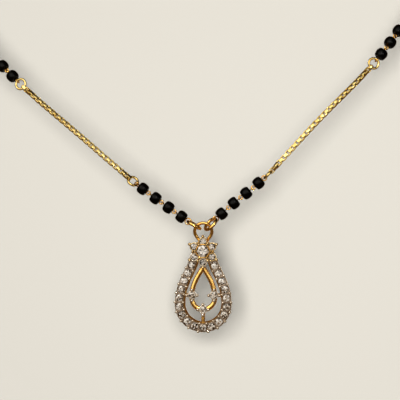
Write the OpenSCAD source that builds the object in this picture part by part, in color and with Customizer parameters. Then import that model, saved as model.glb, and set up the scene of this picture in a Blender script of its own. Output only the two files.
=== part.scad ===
// A mangalsutra: a necklace of black beads and gold box chain with a drop pendant of small white stones,
// in the form that it hangs in when it is worn. Lengths are millimetres. The origin lies on the axis of
// the neck at the height of the clasp, +Z is up and the pendant faces -Y.

/* [Pendant band] */
// Radius of the round lower end of the band, to its centreline
band_r = 4.8; // [4.4:0.1:6]
// Distance from the centre of the flower down to the centreline at the bottom of the band
band_drop = 15.45; // [14:0.25:18]
// Width of the band round its lower end
band_w = 1.7; // [1.65:0.05:2.2]
// Width of the band where it meets the flower
band_top_w = 1.6; // [1.55:0.05:2]
// Thickness of the band from its back to its front face
band_t = 1.3; // [1:0.1:1.8]
// Diameter of the stones in the band
band_stone_d = 1.45; // [1.1:0.05:1.5]
// Stones on each side of the bottom one
band_stones_a_side = 9; // [7:1:9]

/* [Flower] */
// Distance from the top wire of the bail down to the centre of the flower
flower_drop = 5.56; // [5.4:0.02:6.2]
// Diameter of the centre stone
centre_stone_d = 2.4; // [2:0.05:2.5]
// Diameter of the petal stones
petal_stone_d = 1.3; // [1.2:0.05:1.4]
// Distance from the middle of the ring of petals to each petal stone
petal_orbit = 2.1; // [2.05:0.05:2.4]
// Number of petals
petals = 6; // [6:1:6]
// Height of the petal cups above the front face of the band
petal_rise = 0.3; // [0.1:0.05:0.6]
// Height of the centre cup above the front face of the band
centre_rise = 0.7; // [0.4:0.05:1]

/* [Inner drop] */
// Radius of the round lower end of the inner drop, to its centreline
drop_r = 2.3; // [2:0.1:2.6]
// Distance from the centre of the flower down to the centreline at the bottom of the inner drop
drop_drop = 11.8; // [11.2:0.1:12.2]
// Width of the inner drop's limbs
drop_w = 1.0; // [0.7:0.1:1.2]
// Thickness of the inner drop
drop_t = 0.9; // [0.7:0.1:1.2]
// Diameter of the three accent stones
accent_stone_d = 1.4; // [1.2:0.05:1.6]
// Width of the bridges that tie the inner drop to the band
bridge_w = 0.75; // [0.6:0.05:1]

/* [Claws] */
// Diameter of the ball end of a claw in the band
claw_d = 0.56; // [0.36:0.02:0.6]
// Diameter of the ball end of a claw round an accent stone or at a petal's tip
tip_claw_d = 0.64; // [0.46:0.02:0.68]
// Height of a claw's top above the girdle of its stone
claw_rise = 0.38; // [0.32:0.02:0.5]

/* [Bail and end links] */
// Radius of the bail's round upper part, to the centre of its wire
bail_r = 1.72; // [1.65:0.05:2]
// Distance from the bail's top wire down to its lower tip
bail_h = 4.6; // [4.3:0.1:5]
// Thickness of the bail's wire
bail_wire_d = 0.66; // [0.5:0.02:0.7]
// Angle at which the bail leans back to meet the back of the flower
bail_lean = 8; // [7:0.5:11]
// Length of an end link between the centres of its end wires
link_l = 2.8; // [2.7:0.05:3.2]
// Width of an end link between the centres of its long sides
link_w = 2.5; // [2.3:0.05:2.7]
// Thickness of an end link's wire
link_wire_d = 0.7; // [0.55:0.05:0.75]

/* [Beads] */
// Diameter of a bead
bead_d = 2.45; // [2.2:0.05:2.8]
// Length of a bead along the string
bead_l = 1.95; // [1.8:0.05:2.2]
// Diameter of the hole in a bead
bead_bore_d = 0.44; // [0.4:0.02:0.6]
// Beads in a group
beads_in_group = 4; // [3:1:4]
// Thickness of the wire through a bead
pin_wire_d = 0.24; // [0.2:0.01:0.26]
// Radius of the small eye between two beads, to the centre of its wire
eye_r = 0.38; // [0.38:0.01:0.42]
// Radius of the eye round a jump ring
ring_eye_r = 0.5; // [0.5:0.01:0.54]
// Radius of the eye round an end link
link_eye_r = 0.62; // [0.62:0.01:0.66]

/* [Rings, box chain and clasp] */
// Radius of a jump ring, to the centre of its wire
ring_r = 1.03; // [0.98:0.01:1.2]
// Thickness of a jump ring's wire
ring_wire_d = 0.52; // [0.44:0.02:0.56]
// Distance between the two jump rings that hold a piece of box chain
chain_span = 31.2; // [28:0.2:31.4]
// Width of the box chain
chain_w = 1.05; // [0.9:0.05:1.3]
// Radius of the two hooks of the clasp, to the centre of its wire
hook_r = 1.1; // [1.1:0.05:1.4]
// Thickness of the clasp's wire
hook_wire_d = 0.7; // [0.6:0.05:0.8]

/* [Hidden] */
SIDES = ["left", "right"];
groups = 5; // bead groups on each side, each followed by a piece of box chain

gap = 0.06; // between a stone and its seat, and between a chain's end and its ring
curve_fn = 48; // facets that stand for a full circle

neck_centre = [0, 0, 0]; // as seen from above

// The necklace as drawn for a string of one length, which it grows and shrinks with: where the bail's top
// wire hangs, from the origin, and from there the middle of the clasp and the route of the string on each
// side. The first points of a route follow the picture and the rest go round the neck.
STRING_DRAWN = 228.49;
HOOK_DRAWN = [0, -60, -107];
CLASP_DRAWN = [0, 119, 107];
LEFT_ROUTE = [
    [-7.3, 0.3, 3.3], [-14.2, 1, 8.3], [-25.3, 3, 17.5], [-37.6, 7, 27.6], [-47.5, 13, 37.5], [-56, 25, 50],
    [-61.5, 43, 65], [-63.5, 64, 80], [-58.5, 85.5, 92], [-44.5, 104, 100.5], [-23, 115, 105.5]
];
RIGHT_ROUTE = [
    [6.1, 0.3, 4], [12.9, 1, 9.7], [22.8, 3, 20.4], [34.1, 7, 32.1], [43, 14, 44.5], [52, 26, 58.5],
    [58.5, 43, 73], [61, 64, 86], [57.5, 85.5, 95], [44.5, 104, 102], [23, 115, 106]
];
spline_steps = 16; // short straight steps between two route points

// How far each jump ring is turned about the string, from facing outwards: the front ones as pictured.
RING_ROLLS = [[50, 10], [90, 0]]; // for each side, the first two rings; the others face outwards
LINK_ROLLS = [0, 25]; // turn of the left and right end link about its own length
LINK_RISE = [30, 45]; // slope of the left and right end link
LINK_FOOT = [[-0.6, -1.1], [0.5, -1.2]]; // centre of each end link's lower wire, across and up

// General functions
function unit(v) = v / norm(v);
function side_index(side) = side == "left" ? 0 : 1;
function mix(a, b, share) = a + (b - a) * share;
function bezier(a, b, c, d, t) =
    pow(1 - t, 3) * a + 3 * pow(1 - t, 2) * t * b + 3 * (1 - t) * t * t * c + pow(t, 3) * d;

// A smooth curve through a list of points, as short straight steps (Catmull and Rom's spline).
function spline_between(a, b, c, d, t) =
    0.5 * (2 * b + (c - a) * t + (2 * a - 5 * b + 4 * c - d) * t * t + (3 * b - a - 3 * c + d) * t * t * t);
function spline(points) =
    let (n = len(points), padded = concat(
        [2 * points[0] - points[1]], points, [2 * points[n - 1] - points[n - 2]]))
    concat(
        [for (i = [0:n - 2], k = [0:spline_steps - 1])
            spline_between(padded[i], padded[i + 1], padded[i + 2], padded[i + 3], k / spline_steps)],
        [points[n - 1]]);

// The distance along a list of points to each of them.
function distances(path) =
    [for (i = 0, s = 0; i < len(path); s = s + (i + 1 < len(path) ? norm(path[i + 1] - path[i]) : 0), i = i + 1) s];

// A lookup table for each coordinate against the distance along the path.
function tables(path) =
    let (s = distances(path))
    [for (axis = [0:len(path[0]) - 1]) [for (i = [0:len(path) - 1]) [s[i], path[i][axis]]]];
function at(table, s) = [for (axis = table) lookup(s, axis)];
function table_length(table) = table[0][len(table[0]) - 1][0];

// The string: where its pieces come, as distances along each side's route from the end link's upper wire.
eye_sink = 0.07; // how far an eye sits into the hollow round a bead's hole
function eye_reach(r) = bead_l / 2 - eye_sink + r + pin_wire_d / 2; // from a bead's middle to its eye's
bead_pitch = 2 * eye_reach(eye_r) + eye_r;
function first_eye_r(g) = g == 1 ? link_eye_r : ring_eye_r;
function group_length(g) =
    eye_reach(first_eye_r(g)) + (beads_in_group - 1) * bead_pitch + eye_reach(ring_eye_r);
function group_start(g) =
    g == 1 ? 0 : group_start(g - 1) + group_length(g - 1) + 2 * ring_r + chain_span;
string_length = group_start(groups) + group_length(groups) + ring_r + chain_span;
loop_scale = string_length / STRING_DRAWN;
hook_at = loop_scale * HOOK_DRAWN;
clasp_place = loop_scale * CLASP_DRAWN;
function route(side) = loop_scale * (side == "left" ? LEFT_ROUTE : RIGHT_ROUTE);
function clasp_end(side) = clasp_place + [away(side) * (hook_r + ring_r), 0, 0];
function away(side) = side == "left" ? -1 : 1;
function link_foot(side) = [LINK_FOOT[side_index(side)].x, 0, LINK_FOOT[side_index(side)].y];
function link_head(side) =
    let (rise = LINK_RISE[side_index(side)]) link_foot(side) + link_l * [away(side) * cos(rise), 0, sin(rise)];
LEFT_TABLE = tables(spline(concat([link_head("left")], route("left"), [clasp_end("left")])));
RIGHT_TABLE = tables(spline(concat([link_head("right")], route("right"), [clasp_end("right")])));
function string_table(side) = side == "left" ? LEFT_TABLE : RIGHT_TABLE;
function string_at(side, s) = hook_at + at(string_table(side), s);
function side_length(side) = table_length(string_table(side));
function ring_place(side, n) =
    let (g = ceil(n / 2))
    n == 2 * groups ? side_length(side)
    : group_start(g) + group_length(g) + ring_r + (n % 2 == 0 ? chain_span : 0);
function ring_roll(side, n) =
    let (front = RING_ROLLS[side_index(side)])
    n <= len(front) ? front[n - 1] : n == 2 * groups ? 90 : 0;
function outwards(p) = unit([(p.x - neck_centre.x) / 2, p.y - neck_centre.y, 0]);

// The part is turned to run from a to b with its own Z facing outwards from the neck, then rolled.
module between(a, b, roll = 0) {
    x = unit(b - a);
    middle = (a + b) / 2;
    facing = outwards(middle);
    z = unit(facing - (facing * x) * x);
    y = cross(z, x);
    multmatrix([
        [x.x, y.x, z.x, middle.x],
        [x.y, y.y, z.y, middle.y],
        [x.z, y.z, z.z, middle.z]
    ])
        rotate([roll, 0, 0])
            children();
}

// A round wire bent to a full or part circle in the XY plane.
module wire_arc(r, wire_d, from = 0, sweep = 360) {
    rotate([0, 0, from])
        rotate_extrude(angle = sweep, $fn = curve_fn)
            translate([r, 0])
                circle(d = wire_d, $fn = 24);
}

// Pendant. Its modules are drawn lying down, with X across, Y up the pendant and Z towards the viewer.
weight_offset = 0.12; // how far the band lies behind the bail, which puts the weight under the hinge
front = band_t / 2 - weight_offset; // the front face of the band
back = front - band_t;
flower_at = [0, -flower_drop];
petals_lower = 0.2; // the ring of petals lies a little lower than the centre stone
petals_at = flower_at - [0, petals_lower];
band_centre = flower_at - [0, band_drop - band_r];
drop_centre = flower_at - [0, drop_drop - drop_r];
petal_angles = [for (k = [0:petals - 1]) 90 + k * 360 / petals];
gap_angles = [for (k = [0:petals - 1]) 90 + (k + 0.5) * 360 / petals];
function polar(angle, r) = r * [cos(angle), sin(angle)];
lower_petal = petals_at + polar(90 - 2 * 360 / petals, petal_orbit);
arc_steps = 14;
flank_steps = 16;

// The right half of a drop outline from its bottom up: a round lower end, then a flank whose two pulls,
// as shares of its height, set how full it is.
function half_drop(centre, r, top, low_pull, top_pull) =
    let (start = centre + [r, 0], h = top.y - start.y)
    concat(
        [for (k = [0:arc_steps]) centre + polar(-90 + 90 * k / arc_steps, r)],
        [for (k = [1:flank_steps])
            bezier(start, start + h * low_pull, top + h * top_pull, top, k / flank_steps)]);

band_half = half_drop(band_centre, band_r, lower_petal, [0, 0.46], [0.055, -0.3]);
drop_clear = 0.4; // between the lowest petal stone and the tip of the inner drop's centreline
drop_top = petals_at + polar(-90, petal_orbit + petal_stone_d / 2 + drop_clear);
drop_half = half_drop(drop_centre, drop_r, drop_top, [0, 0.47], [0.16, -0.27]);
BAND_TABLE = tables(band_half);
band_half_length = table_length(BAND_TABLE);
band_pitch = band_half_length / (band_stones_a_side + 1);

// Width of the band at a distance from its bottom: full round its lower end, then narrowing.
function band_width(s) =
    let (arc = PI / 2 * band_r)
    mix(band_w, band_top_w, max(0, (s - arc) / (band_half_length - arc)));
function heading(path, i) =
    unit(path[min(i + 1, len(path) - 1)] - path[max(i - 1, 0)]);
function beside(path, i, d) =
    let (t = i == 0 ? [1, 0] : heading(path, i)) path[i] + d * [t.y, -t.x];
function mirrored(points) = [for (p = points) [-p.x, p.y]];
function reversed(list) = [for (i = [len(list) - 1:-1:0]) list[i]];

// A flat strip along a half outline and its mirror image, from the list of inner to that of outer distances
// from it. A half that ends on the middle line meets its mirror image there in a mitre, as a closed loop.
least_x = 0.02; // nearer to the middle line a point would cross to the other half
module strip(half, outer_by, inner_by) {
    last = len(half) - 1;
    closed = abs(half[last].x) < 0.001;
    edge = function(by) concat(
        [for (i = [0:closed ? last - 1 : last])
            let (p = beside(half, i, by[i])) if (i == 0 || p.x > least_x) p],
        closed ? [half[last] + [0, by[last] / abs(heading(half, last).x)]] : []);
    outer = edge(outer_by);
    inner = edge(inner_by);
    back_down = function(list, from) mirrored([for (i = [from:-1:1]) list[i]]);
    if (closed)
        difference() {
            polygon(concat(outer, back_down(outer, len(outer) - 2)));
            polygon(concat(inner, back_down(inner, len(inner) - 2)));
        }
    else
        polygon(concat(
            outer, reversed(inner), mirrored([for (i = [1:len(inner) - 1]) inner[i]]),
            back_down(outer, len(outer) - 1)));
}

// Place of a point on the band: which side, how far from the bottom, and how far outwards.
look_about = 0.05; // before and after a point, to find which way the band runs there
function band_point(sign, s, out) =
    let (p = at(BAND_TABLE, s), q = at(BAND_TABLE, min(s + look_about, band_half_length)),
        o = at(BAND_TABLE, max(s - look_about, 0)), t = unit(q - o), place = p + out * [t.y, -t.x])
    [sign * place.x, place.y];
band_seats = concat(
    [band_point(1, 0, 0)],
    [for (sign = [-1, 1], k = [1:band_stones_a_side]) band_point(sign, k * band_pitch, 0)]);
claw_inset = 0.03; // from the band's edge in to the middle of a claw
band_claws = [for (sign = [-1, 1], k = [0:band_stones_a_side - 1], edge = [-1, 1])
    let (s = (k + 0.5) * band_pitch) band_point(sign, s, edge * (band_width(s) / 2 - claw_inset))];
petal_seats = [for (angle = petal_angles) petals_at + polar(angle, petal_orbit)];
accent_lift = 0.6; // how far the side accents lie above the middle of the round lower end
accent_seats = [
    drop_centre + [-sqrt(drop_r * drop_r - accent_lift * accent_lift), accent_lift],
    drop_centre + [sqrt(drop_r * drop_r - accent_lift * accent_lift), accent_lift],
    drop_centre + [0, -drop_r]
];
accent_rise = 0.1; // of the accent cups above the front face of the band
accent_front = front + accent_rise;
claw_clear = 0.05; // between a claw's ball and the edge of its stone
claw_neck = 0.04; // how far the ball stands out beyond its post
claw_foot = 0.3; // height of a post's foot above the back of the pendant

// The claw stands on the metal and ends in a ball a little over the stone's girdle.
module claw(place, base, girdle, ball_d = claw_d) {
    top = girdle + claw_rise - ball_d / 2;
    translate([place.x, place.y, base])
        cylinder(d = ball_d - 2 * claw_neck, h = top - base, $fn = 20);
    translate([place.x, place.y, top])
        sphere(d = ball_d, $fn = 20);
}

// The seat under a stone: a cone that follows its pavilion, then a hole right through. Above the seat
// whatever stands beside the stone is cut back from it.
seat_lip = 0.02; // how far the girdle overhangs the seat
stone_clear = 0.03; // beside the girdle; the claws stand a little further off
module seat_hole(place, stone_d, top) {
    cone = (stone_d / 4 - seat_lip) * 2 * PAVILION_H;
    translate([place.x, place.y, top - cone]) {
        cylinder(d1 = stone_d / 2, d2 = stone_d - 2 * seat_lip, h = cone, $fn = 32);
        translate([0, 0, cone - 0.001])
            cylinder(d = stone_d - 2 * seat_lip, h = 1, $fn = 32);
        translate([0, 0, cone + gap / 4])
            cylinder(d = stone_d + 2 * stone_clear, h = 1, $fn = 32);
        translate([0, 0, back - top - 1])
            cylinder(d = stone_d / 2, h = top - back + 1, $fn = 32);
    }
}

module cup(place, stone_d, top, wall) {
    translate([place.x, place.y, back])
        cylinder(d = stone_d + 2 * wall, h = top - back, $fn = 40);
}

// The metal: walls of the cups, the plate that carries the petals, and the ledge round the band's inside.
petal_wall = 0.2;
centre_wall = 0.25;
accent_wall = 0.14;
plate_t = 0.5;
ledge_w = 0.35;
ledge_t = 0.55;
ledge_up = 0.05; // from the back of the band
ledge_bury = 0.3; // how far the ledge runs into the band
bridge_bury = 0.2; // how far a bridge runs into the band
bridge_less = 0.1; // how much thinner the bridges are than the inner drop
module pendant_metal() {
    band_s = distances(band_half);
    band_edge = [for (s = band_s) band_width(s) / 2];
    translate([0, 0, back])
        linear_extrude(band_t)
            strip(band_half, band_edge, -band_edge);
    translate([0, 0, back + ledge_up])
        linear_extrude(ledge_t)
            strip(band_half, [for (e = band_edge) ledge_bury - e], [for (e = band_edge) -e - ledge_w]);
    translate([0, 0, (front + back - drop_t) / 2])
        linear_extrude(drop_t)
            strip(drop_half, [for (p = drop_half) drop_w / 2], [for (p = drop_half) -drop_w / 2]);
    for (place = petal_seats)
        cup(place, petal_stone_d, front + petal_rise, petal_wall);
    cup(flower_at, centre_stone_d, front + centre_rise, centre_wall);
    translate([petals_at.x, petals_at.y, back])
        cylinder(r = petal_orbit, h = plate_t, $fn = 60);
    for (place = accent_seats)
        cup(place, accent_stone_d, accent_front, accent_wall);
    bridges();
}

module bridges() {
    side = accent_seats[1];
    reach = band_centre.x + band_r - band_w / 2 + bridge_bury;
    inset = accent_stone_d / 2;
    for (sign = [-1, 1])
        translate([sign * (side.x + inset + reach) / 2, side.y, (front + back) / 2])
            cube([reach - side.x - inset, bridge_w, drop_t - bridge_less], center = true);
    top = accent_seats[2].y - inset;
    bottom = band_centre.y - band_r + band_w / 2 - bridge_bury;
    translate([0, (top + bottom) / 2, (front + back) / 2])
        cube([bridge_w, top - bottom, drop_t - bridge_less], center = true);
}

gap_claw_out = 0.25; // how far a claw between two petals stands outside the line of their middles
module claws() {
    girdle = front + gap;
    for (place = band_claws)
        claw(place, back + claw_foot, girdle);
    petal_girdle = girdle + petal_rise;
    for (angle = petal_angles)
        claw(petals_at + polar(angle, petal_orbit + (petal_stone_d + tip_claw_d) / 2 + claw_clear),
            back + claw_foot, petal_girdle, tip_claw_d);
    for (angle = gap_angles) {
        claw(petals_at + polar(angle, petal_orbit * cos(180 / petals) + gap_claw_out), back + claw_foot,
            petal_girdle);
        claw(flower_at + polar(angle, (centre_stone_d + claw_d) / 2 + claw_clear), back + claw_foot,
            girdle + centre_rise);
    }
    for (place = accent_seats, angle = [0, 90, 180, 270])
        claw(place + polar(angle, (accent_stone_d + tip_claw_d) / 2 + claw_clear), back + claw_foot,
            accent_front + gap, tip_claw_d);
}

// The bail is a round wire above and two straight limbs that meet in a point below.
limb_less = 0.04; // how much thinner the limbs are than the round part, which they end inside
limb_cross = 0.15; // how far each limb runs past the tip, into the other
module bail() {
    rest = bail_h - bail_r;
    turn = acos(bail_r / rest); // from straight down to where the limbs leave the round part
    limb = sqrt(rest * rest - bail_r * bail_r);
    rotate([bail_lean, 0, 0])
        translate([0, -bail_r, 0]) {
            wire_arc(bail_r, bail_wire_d, -90 + turn, 360 - 2 * turn);
            for (sign = [-1, 1])
                translate([0, -rest, 0])
                    rotate([-90, 0, -sign * (90 - turn)])
                        cylinder(d = bail_wire_d - limb_less, h = limb + limb_cross, $fn = 24);
        }
}

module pendant_frame() {
    color("gold")
        hang() {
            difference() {
                union() {
                    pendant_metal();
                    claws();
                }
                for (place = band_seats)
                    seat_hole(place, band_stone_d, front);
                for (place = petal_seats)
                    seat_hole(place, petal_stone_d, front + petal_rise);
                seat_hole(flower_at, centre_stone_d, front + centre_rise);
                for (place = accent_seats)
                    seat_hole(place, accent_stone_d, accent_front);
            }
            bail();
        }
}

// Stands the pendant up, with its bail's top wire at the hook point.
module hang() {
    translate(hook_at)
        rotate([90, 0, 0])
            children();
}

// A brilliant cut stone with its girdle at Z = 0: table, star, kite, girdle and pavilion facets.
// Shares of the diameter: table radius, crown height, star radius, girdle height and pavilion depth.
TABLE_R = 0.29;
CROWN_H = 0.15;
STAR_R = 0.41;
GIRDLE_H = 0.02;
PAVILION_H = 0.42;
module brilliant(d) {
    ring = function(r, z, n, turn) [for (k = [0:n - 1]) [r * cos(turn + k * 360 / n), r * sin(turn + k * 360 / n), z]];
    star_h = CROWN_H + (GIRDLE_H - CROWN_H) * (STAR_R * cos(22.5) - TABLE_R) / (0.5 - TABLE_R);
    points = concat(
        ring(TABLE_R, CROWN_H, 8, 0),
        ring(STAR_R, star_h, 8, 22.5),
        ring(0.5, GIRDLE_H, 16, 0),
        ring(0.5, 0, 16, 0),
        [[0, 0, -PAVILION_H]]);
    star = 8;
    girdle = 16;
    under = 32;
    culet = 48;
    faces = concat(
        [[for (k = [7:-1:0]) k]],
        [for (k = [0:7]) [k, (k + 1) % 8, star + k]],
        [for (k = [0:7]) [k, star + k, girdle + 2 * k]],
        [for (k = [0:7]) [k, girdle + 2 * k, star + (k + 7) % 8]],
        [for (k = [0:7]) [star + k, girdle + 2 * k + 1, girdle + 2 * k]],
        [for (k = [0:7]) [star + k, girdle + (2 * k + 2) % 16, girdle + 2 * k + 1]],
        [for (k = [0:15]) [girdle + k, girdle + (k + 1) % 16, under + (k + 1) % 16, under + k]],
        [for (k = [0:15]) [under + k, under + (k + 1) % 16, culet]]);
    polyhedron([for (p = points) d * p], faces);
}

module stones(places, d, seat) {
    color("white")
        hang()
            for (place = places)
                translate([place.x, place.y, seat + gap])
                    brilliant(d);
}

// End links: oval rings of thick wire between the bail and the first beads.
module end_link(side) {
    half_w = link_w / 2;
    straight = link_l - link_w;
    color("gold")
        between(hook_at + link_foot(side), hook_at + link_head(side), 90 + LINK_ROLLS[side_index(side)]) {
            for (turn = [-90, 90])
                translate([-sign(turn) * straight / 2, 0, 0])
                    wire_arc(half_w, link_wire_d, turn, 180);
            for (y = [-half_w, half_w])
                translate([-straight / 2, y, 0])
                    rotate([0, 90, 0])
                        cylinder(d = link_wire_d, h = straight, $fn = 24);
        }
}

// Beads and the wire pins that they sit on, each pin with an eye at both ends.
function bead_middle(g, k) = group_start(g) + eye_reach(first_eye_r(g)) + (k - 1) * bead_pitch;
function near_eye_r(g, k) = k == 1 ? first_eye_r(g) : eye_r;
function far_eye_r(k) = k == beads_in_group ? ring_eye_r : eye_r;
module at_bead(side, g, k) {
    s = bead_middle(g, k);
    between(
        string_at(side, s - eye_reach(near_eye_r(g, k))),
        string_at(side, s + eye_reach(far_eye_r(k))))
        translate([(eye_reach(near_eye_r(g, k)) - eye_reach(far_eye_r(k))) / 2, 0, 0])
            children();
}

// A bead's wall in section is a superellipse, rounder than a barrel and fuller than a ring.
bead_fullness = 2.1;
bead_section_steps = 24;
function swell(share) = sign(share) * pow(abs(share), 2 / bead_fullness);
module bead() {
    wall = (bead_d - bead_bore_d) / 4;
    section = [for (k = [0:bead_section_steps - 1])
        let (angle = k * 360 / bead_section_steps)
        [bead_bore_d / 2 + wall + wall * swell(cos(angle)), bead_l / 2 * swell(sin(angle))]];
    rotate([0, 90, 0])
        rotate_extrude($fn = curve_fn)
            polygon(section);
}

module beads(side, g) {
    color("black")
        for (k = [1:beads_in_group])
            at_bead(side, g, k)
                bead();
}

pin_less = 0.02; // how much thinner a pin is than its eyes, which it ends inside
module bead_pins(side, g) {
    first_roll = g == 1 ? LINK_ROLLS[side_index(side)] : ring_roll(side, 2 * g - 2) + 90;
    last_roll = ring_roll(side, 2 * g - 1) + 90;
    color("gold")
        for (k = [1:beads_in_group])
            at_bead(side, g, k) {
                near = near_eye_r(g, k);
                far = far_eye_r(k);
                translate([-eye_reach(near), 0, 0])
                    rotate([k == 1 ? first_roll : 0, 0, 0])
                        wire_arc(near, pin_wire_d);
                translate([eye_reach(far), 0, 0])
                    rotate([k == beads_in_group ? last_roll : 90, 0, 0])
                        wire_arc(far, pin_wire_d);
                translate([-eye_reach(0), 0, 0])
                    rotate([0, 90, 0])
                        cylinder(d = pin_wire_d - pin_less, h = 2 * eye_reach(0), $fn = 20);
            }
}

module jump_ring(side, n) {
    s = ring_place(side, n);
    color("gold")
        between(string_at(side, s - ring_r), string_at(side, s + (n == 2 * groups ? 0 : ring_r)), ring_roll(side, n))
            translate([n == 2 * groups ? ring_r / 2 : 0, 0, 0])
                wire_arc(ring_r, ring_wire_d);
}

// A piece of box chain as a plain closed tube of eight sides along its route.
tube_rings = 8;
tube_sides = 8;
module box_chain(side, g) {
    clear = ring_r + ring_wire_d / 2 + gap;
    from = ring_place(side, 2 * g - 1) + clear;
    to = ring_place(side, 2 * g) - clear;
    step = (to - from) / (tube_rings - 1);
    centres = [for (i = [0:tube_rings - 1]) string_at(side, from + i * step)];
    r = chain_w / 2 / cos(180 / tube_sides);
    points = [for (i = [0:tube_rings - 1])
        let (t = heading(centres, i), f = outwards(centres[i]), z = unit(f - (f * t) * t), y = cross(z, t))
        for (k = [0:tube_sides - 1])
            let (angle = (k + 0.5) * 360 / tube_sides) centres[i] + r * (cos(angle) * y + sin(angle) * z)];
    last = (tube_rings - 1) * tube_sides;
    faces = concat(
        [[for (k = [0:tube_sides - 1]) k]],
        [for (i = [0:tube_rings - 2], k = [0:tube_sides - 1])
            let (a = i * tube_sides + k, b = i * tube_sides + (k + 1) % tube_sides)
            [a, a + tube_sides, b + tube_sides, b]],
        [[for (k = [tube_sides - 1:-1:0]) last + k]]);
    color("gold")
        polyhedron(points, faces);
}

// The clasp is a plain S of wire whose two hooks hold the last rings.
hook_sweep = 285;
module clasp() {
    place = hook_at + clasp_place;
    color("gold")
        translate(place)
            rotate([90, 0, 0])
                for (half_turn = [0, 180])
                    rotate([0, 0, half_turn])
                        translate([-hook_r, 0, 0])
                            wire_arc(hook_r, hook_wire_d, 0, hook_sweep);
}

pendant_frame();
stones([flower_at], centre_stone_d, front + centre_rise);  // centre_stone
stones(petal_seats, petal_stone_d, front + petal_rise);  // petal_stones
stones(band_seats, band_stone_d, front);  // band_stones
stones(accent_seats, accent_stone_d, accent_front);  // accent_stones
for (side = SIDES) {
    end_link(side);
    for (g = [1:groups]) {
        beads(side, g);
        bead_pins(side, g);
        box_chain(side, g);
    }
    for (n = [1:2 * groups])
        jump_ring(side, n);
}
clasp();
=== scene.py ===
"""A mangalsutra in Blender: black glass beads and gold box chain with a drop pendant of white stones.

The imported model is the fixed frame. Everything here is in metres, in the frame's own axes: +Z is up, the
pendant faces -Y, and the origin is on the axis of the neck at the height of the clasp.
"""

from __future__ import annotations

import logging
from dataclasses import dataclass, field
from enum import Enum, IntEnum

import bpy
import numpy as np
from mathutils import Matrix, Vector


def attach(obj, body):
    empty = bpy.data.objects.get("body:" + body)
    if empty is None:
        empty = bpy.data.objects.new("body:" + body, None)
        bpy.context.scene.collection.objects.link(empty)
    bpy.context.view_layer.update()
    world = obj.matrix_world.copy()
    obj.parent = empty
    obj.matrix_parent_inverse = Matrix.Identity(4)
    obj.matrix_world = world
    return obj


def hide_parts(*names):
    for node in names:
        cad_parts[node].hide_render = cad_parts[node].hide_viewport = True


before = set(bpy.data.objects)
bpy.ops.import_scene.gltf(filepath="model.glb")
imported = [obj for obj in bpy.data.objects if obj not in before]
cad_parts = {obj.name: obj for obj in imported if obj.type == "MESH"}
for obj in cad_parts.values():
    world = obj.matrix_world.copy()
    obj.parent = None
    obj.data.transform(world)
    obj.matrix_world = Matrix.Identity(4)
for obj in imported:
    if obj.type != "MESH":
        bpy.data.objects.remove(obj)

Array = np.ndarray
Material, Object = bpy.types.Material, bpy.types.Object
Node, Socket, Tree = bpy.types.Node, bpy.types.NodeSocket, bpy.types.NodeTree
LOG = logging.getLogger("mangalsutra")
MM = 0.001
SIDES = ("left", "right")
GROUPS = 5
HOOK = np.array([0, -60, -107]) * MM  # the bail's top wire, where the pendant hangs
NORMAL = np.array([0, 0, 1.0])
LINK_L, LINK_W, LINK_WIRE_D = 2.8 * MM, 2.5 * MM, 0.7 * MM
RING_R, RING_WIRE_D = 1.03 * MM, 0.52 * MM
FRONT = np.array([0.07, -1.0, 0.05])  # forwards, from which the front pieces of box chain measure their roll
# Degrees of roll at the start and end of a piece of box chain: read off the photograph, and guessed elsewhere.
CHAIN_ROLLS = {("left", 1): (20.0, 28.0), ("right", 1): (-10.0, -42.0)}
HIDDEN_ROLLS = (10.0, 40.0)
PALE = "#e8e3d7"  # the backdrop as the camera sees it


class Slot(Enum):
    """The record's material slots, by name."""

    GOLD = "gold"
    STONE = "white_stone"
    BEAD = "black_bead"


class Coat(IntEnum):
    """The finishes on the pendant's metal, in the order of its materials."""

    WHITE = 0
    GOLD = 1
    # the plate with painted shade between the band's stones
    SHADED = 2
    THIN = 3


# General shapes


def unit(v: Array) -> Array:
    """Vectors of length one along the given ones."""
    return v / np.linalg.norm(v, axis=-1, keepdims=True)


def polar(degrees: Array, radius: float) -> Array:
    """Points of a circle at these angles: radius times their cosine and sine."""
    turn = np.radians(degrees)
    return radius * np.stack([np.cos(turn), np.sin(turn)], axis=-1)


def circle(radius: float, sides: int) -> Array:
    """A whole circle's points: radius times the cosine and sine of equal turns."""
    turn = np.arange(sides) * 2 * np.pi / sides
    return radius * np.stack([np.cos(turn), np.sin(turn)], axis=1)


def rounded_bar(width: float, height: float, fullness: float, sides: int) -> Array:
    """A superellipse: half sizes times the signed (2 / fullness) powers of the cosine and sine."""
    turn = (np.arange(sides) + 0.5) * 2 * np.pi / sides
    ends = np.stack([np.cos(turn), np.sin(turn)], axis=1)
    return np.sign(ends) * np.abs(ends) ** (2 / fullness) * np.array([width / 2, height / 2])


def read_off(at: Array, known: Array, values: Array) -> Array:
    """Rows of values that belong to known distances, read off at others by straight interpolation."""
    return np.stack([np.interp(at, known, column) for column in values.T], axis=-1)


def resample(path: Array, count: int) -> Array:
    """Points at equal distances along a path, by straight interpolation over its length."""
    length = np.r_[0, np.cumsum(np.linalg.norm(np.diff(path, axis=0), axis=1))]
    return read_off(np.linspace(0, length[-1], count), length, path)


def tangents(path: Array) -> Array:
    """Unit differences of each point's two neighbours."""
    return unit(np.gradient(path, axis=0))


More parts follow.
